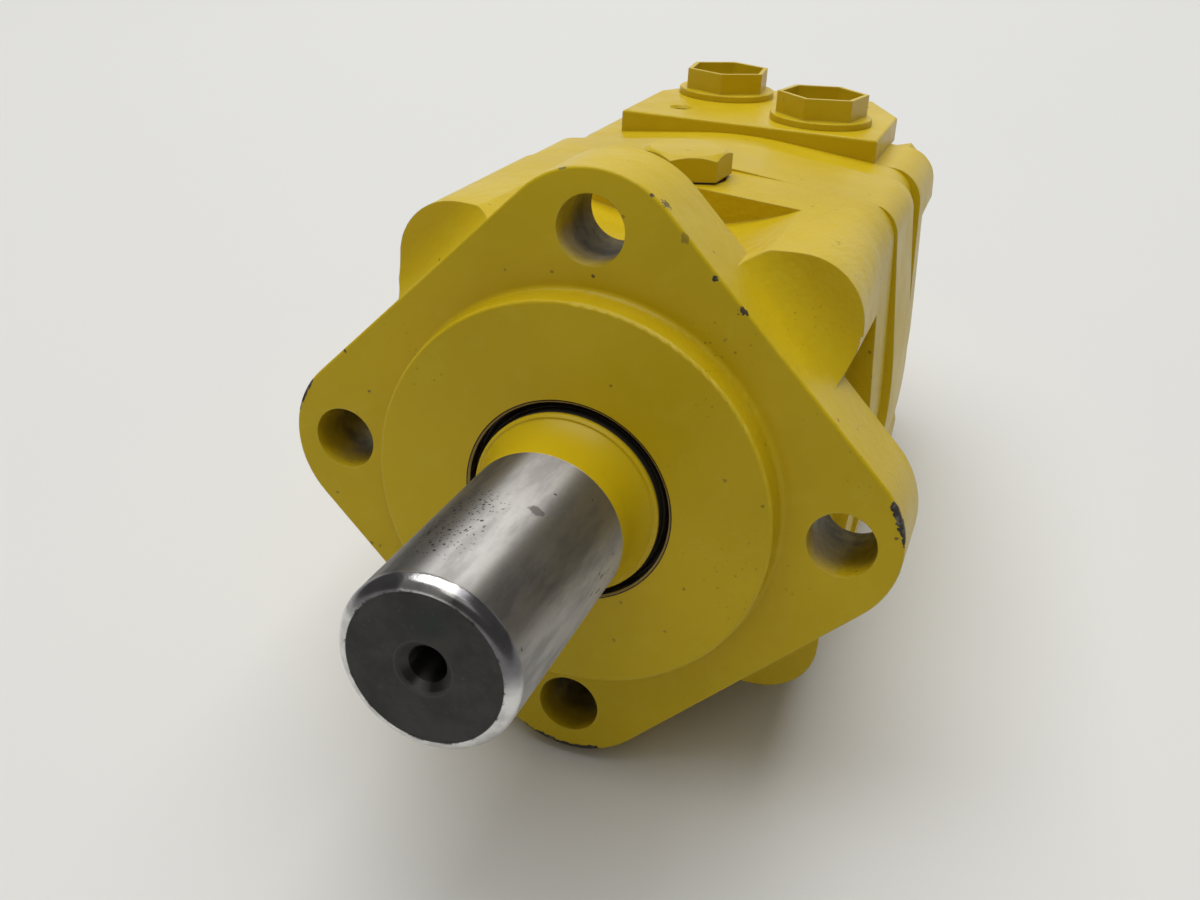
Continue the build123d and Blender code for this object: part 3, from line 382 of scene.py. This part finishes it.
    # darker line of paint along the collar's crease at y = -8.3 mm: painted shade of a groove
    crease_shade = t.mul(t.step(t.math("ABSOLUTE", t.add(y, 8.3 * MM)), 0.22 * MM, 0.08 * MM), t.step(r, 18.0 * MM, 18.4 * MM))
    pcol = t.mix(t.mul(crease_shade, 0.75), pcol, (0.16, 0.115, 0.010))
    base = t.mix(painted, base, pcol)
    # paint does not reach into the seal gap; the unpainted steel there is coloured dark as painted shade of the deep
    # gap
    base = t.mix(seal_gap_shade, base, (0.055, 0.048, 0.040))
    metal = t.mul(t.inv(painted), t.inv(t.mul(face, 0.6)))
    metal = t.mixf(seal_gap_shade, metal, 0.4)
    rough = t.mixf(painted, t.mixf(marks, t.step(tarnish, 0.35, 0.68, 0.42, 0.52), 0.6), 0.34)
    rough = t.mixf(face, rough, 0.58)
    rough = t.mixf(t.mul(cham, t.inv(face)), rough, 0.22)
    dent = t.noise(420, 3, 0.55, w=0.9)
    h = t.add(t.mul(rings, 0.010), t.mul(marks, -0.10), t.mul(painted, 0.9), t.mul(face, t.mul(blot, 0.35)),
              t.mul(cham, t.mul(dent, 0.9), top, t.step(tone, 0.35, 0.15), t.step(tone, -0.35, -0.2)))
    t.set(t.bsdf.inputs["Base Color"], base)
    t.set(t.bsdf.inputs["Metallic"], metal)
    t.set(t.bsdf.inputs["Roughness"], rough)
    t.bsdf.inputs["Specular IOR Level"].default_value = 0.25
    # ground round the journal, so highlights spread along it
    tang = t.t.nodes.new("ShaderNodeTangent")
    tang.direction_type = "RADIAL"
    tang.axis = "Y"
    t.set(t.bsdf.inputs["Tangent"], tang.outputs[0])
    t.set(t.bsdf.inputs["Anisotropic"], t.mul(metal, t.inv(cham), 0.9))
    t.bsdf.inputs["Anisotropic Rotation"].default_value = 0.25
    t.set(t.bsdf.inputs["Normal"], t.bump(h, 0.10 * MM, 1.0))
    return t.mat


# ------------------------------------------------------------------ materials on the frame's nodes
SPOTS_HOUSING = [((13.6, 1.6, 59.5), (1.3, 1.2, 1.3), 0.75), ((11.6, 0.2, 61.2), (0.8, 0.7, 0.5), 0.9), ((24.2, 0.0, 47.8), (0.45, 0.5, 0.55), 1.0),
                 ((30.0, 0.0, 42.7), (1.3, 0.6, 0.9), 0.95), ((18.0, 0.0, 54.3), (0.7, 0.5, 1.0), 0.45), ((40.2, 31.0, 50.0), (1.5, 3.0, 1.5), 0.55),
                 ((-6.3, 0.0, 64.0), (1.2, 0.6, 0.6), 0.7), ((62.9, 0.0, 3.9), (0.45, 0.4, 0.45), 0.8),
                 ((38.4, 0.4, 37.6), (0.8, 0.6, 0.8), 0.7), ((26.4, 18.3, 46.4), (0.9, 0.9, 0.9), 0.8), ((-52.4, 0.0, 20.0), (0.5, 0.5, 0.5), 0.9),
                 ((-47.0, 0.0, 12.0), (0.3, 0.4, 0.3), 0.8), ((1.0, 0.0, 44.6), (0.35, 0.4, 0.3), 0.8)]
m_house = paint("cast_yellow_enamel", cast=1.9, peel=0.10, specks=0.55, spots=SPOTS_HOUSING, edge=0.25, housing=True, brush=0.9)
m_plate = paint("plate_yellow_enamel", cast=0.30, peel=0.14, specks=0.40, edge=0.30)
m_port = paint("port_yellow_enamel", cast=1.0, peel=0.12, specks=0.45, edge=0.30)
m_plug = paint("plug_yellow_enamel", cast=0.0, peel=0.10, specks=0.40, edge=0.30)
m_rubber = plain("seal_rubber", (0.016, 0.016, 0.017), 0.55, 0.0, 0.01, 700)
m_dust = plain("dust_lip_rubber", (0.038, 0.029, 0.017), 0.45, 0.0, 0.01, 500)
m_steel = plain("turned_steel", (0.50, 0.49, 0.48), 0.34, 1.0, 0.0, 300, stretch=(1, 6, 1))
m_race = plain("bearing_steel", (0.60, 0.60, 0.62), 0.16, 1.0, 0.0, 260, colour2=(0.52, 0.52, 0.54))
m_roller = plain("roller_steel", (0.66, 0.66, 0.68), 0.13, 1.0, 0.0, 300, colour2=(0.56, 0.56, 0.58))
m_cage = plain("pressed_cage_steel", (0.40, 0.37, 0.33), 0.38, 1.0, 0.01, 420)
m_drive = plain("case_hardened_steel", (0.24, 0.24, 0.26), 0.32, 1.0, 0.01, 350)
m_lapped = plain("lapped_steel", (0.55, 0.55, 0.57), 0.22, 1.0, 0.0, 500, colour2=(0.46, 0.46, 0.48))
m_iron = plain("machined_iron", (0.34, 0.34, 0.35), 0.42, 1.0, 0.01, 520)
m_spring = plain("spring_wire", (0.42, 0.42, 0.44), 0.28, 1.0, 0.0, 700)
m_shaft = shaft_material()

look = {
    "bearing_housing": m_house, "port_housing": m_port,
    "wear_plate": m_plate, "geroler_ring": m_plate, "valve_plate": m_plate,
    "tie_bolts": m_plug, "tie_bolt_washers": m_plug, "drain_plug": m_plug, "drain_plug_washer": m_iron,
    "port_plug_a": m_plug, "port_plug_b": m_plug,
    "output_shaft": m_shaft, "dust_seal": m_dust, "shaft_seal": m_rubber, "seal_support_ring": m_steel,
    "housing_o_ring": m_rubber, "ring_front_o_ring": m_rubber, "ring_rear_o_ring": m_rubber,
    "port_housing_o_ring": m_rubber, "balance_ring_seal": m_rubber, "bearing_shim": m_steel,
    "star": m_lapped, "valve_disc": m_lapped, "balance_ring": m_iron, "balance_springs": m_spring,
    "main_drive": m_drive, "valve_drive": m_drive, "drive_spacer": m_drive,
}
for name, o in nodes.items():
    if name in look:
        m = look[name]
    elif "race" in name:
        m = m_race
    elif "roller" in name:
        m = m_roller
    elif "cage" in name:
        m = m_cage
    else:
        m = m_steel
    o.data.materials.clear()
    o.data.materials.append(m)

# ------------------------------------------------------------------ floor under the resting motor
# The motor rests on the flange's lower tip and the rear housing's lower lobes, so the floor is tilted in its frame.
pts = set()
for name in ("bearing_housing", "wear_plate", "geroler_ring", "valve_plate", "port_housing"):
    for v in nodes[name].data.vertices:
        if v.co.z < -0.035:
            pts.add((round(v.co.y, 5), round(v.co.z, 5)))
pts = sorted(pts)
hull = []
for p in pts:
    while len(hull) > 1 and (hull[-1][0] - hull[-2][0]) * (p[1] - hull[-2][1]) - (hull[-1][1] - hull[-2][1]) * (p[0] - hull[-2][0]) <= 0:
        hull.pop()
    hull.append(p)
COM_Y = 0.080
rest = next(((a, b) for a, b in zip(hull, hull[1:]) if a[0] <= COM_Y <= b[0]), (hull[0], hull[-1]))
(ya, za), (yb, zb) = rest
slope = (zb - za) / (yb - ya)
up = Vector((0, -slope, 1)).normalized()
print("floor contact", rest, "slope", slope)
centre = Vector((0, ya, za)) - up * 0.00005
S = 9.0
fm = bpy.data.meshes.new("floor")
ax = Vector((1, 0, 0))
ay = up.cross(ax).normalized()
fm.from_pydata([centre + ax * (i * S) + ay * (j * S) for i, j in ((-1, -1), (1, -1), (1, 1), (-1, 1))], [], [(0, 1, 2, 3)])
floor = bpy.data.objects.new("floor", fm)
scene.collection.objects.link(floor)
ft = Tree("pale_table")
fn = ft.noise(3.0, 3, 0.5)
ft.set(ft.bsdf.inputs["Base Color"], ft.mix(fn, (0.715, 0.715, 0.70), (0.69, 0.69, 0.675)))
ft.bsdf.inputs["Roughness"].default_value = 0.6
ft.bsdf.inputs["Specular IOR Level"].default_value = 0.25
floor.data.materials.append(ft.mat)

# ------------------------------------------------------------------ camera
cam_data = bpy.data.cameras.new("camera")
cam = bpy.data.objects.new("camera", cam_data)
scene.collection.objects.link(cam)
cam_data.sensor_fit = "HORIZONTAL"
cam_data.sensor_width = 36.0
cam_data.lens = 38.157
cam_data.clip_start = 0.01
cam_data.clip_end = 50.0
fwd = Vector((-0.2930, 0.8500, -0.4379)).normalized()
upv = Vector((-0.1930, 0.3959, 0.8978))
right = fwd.cross(upv).normalized()
upv = right.cross(fwd).normalized()
rot = Matrix((right, upv, -fwd)).transposed()
cam.matrix_world = Matrix.Translation((0.077275, -0.212086, 0.118762)) @ rot.to_4x4()
scene.camera = cam


# ------------------------------------------------------------------ light
def softbox(name, loc, target, size, power, colour=(1, 1, 1), size_y=None):
    d = bpy.data.lights.new(name, "AREA")
    d.shape = "RECTANGLE"
    d.size = size
    d.size_y = size_y or size
    d.energy = power
    d.color = colour
    o = bpy.data.objects.new(name, d)
    scene.collection.objects.link(o)
    o.location = loc
    o.rotation_euler = (Vector(target) - Vector(loc)).to_track_quat("-Z", "Y").to_euler()
    return o


softbox("overhead", (-0.38, 0.36, 2.2), (-0.38, 0.36, 0), 2.2, 62.0, (1.0, 1.0, 0.995), 3.0)
softbox("front_top", (0.4, -1.5, 1.9), (0, 0.0, 0), 1.3, 5.5, (1.0, 0.96, 0.90))
softbox("back_wall", (0.2, 3.0, 0.85), (0, 0.05, 0.1), 4.5, 12.0, (0.98, 0.99, 1.0), 1.5)
world = bpy.data.worlds.new("studio")
scene.world = world
world.use_nodes = True
bg = world.node_tree.nodes["Background"]
bg.inputs[0].default_value = (1.0, 0.98, 0.95, 1)
bg.inputs[1].default_value = 0.165
scene.view_settings.view_transform = "Standard"
scene.view_settings.look = "None"
scene.view_settings.exposure = 0.0
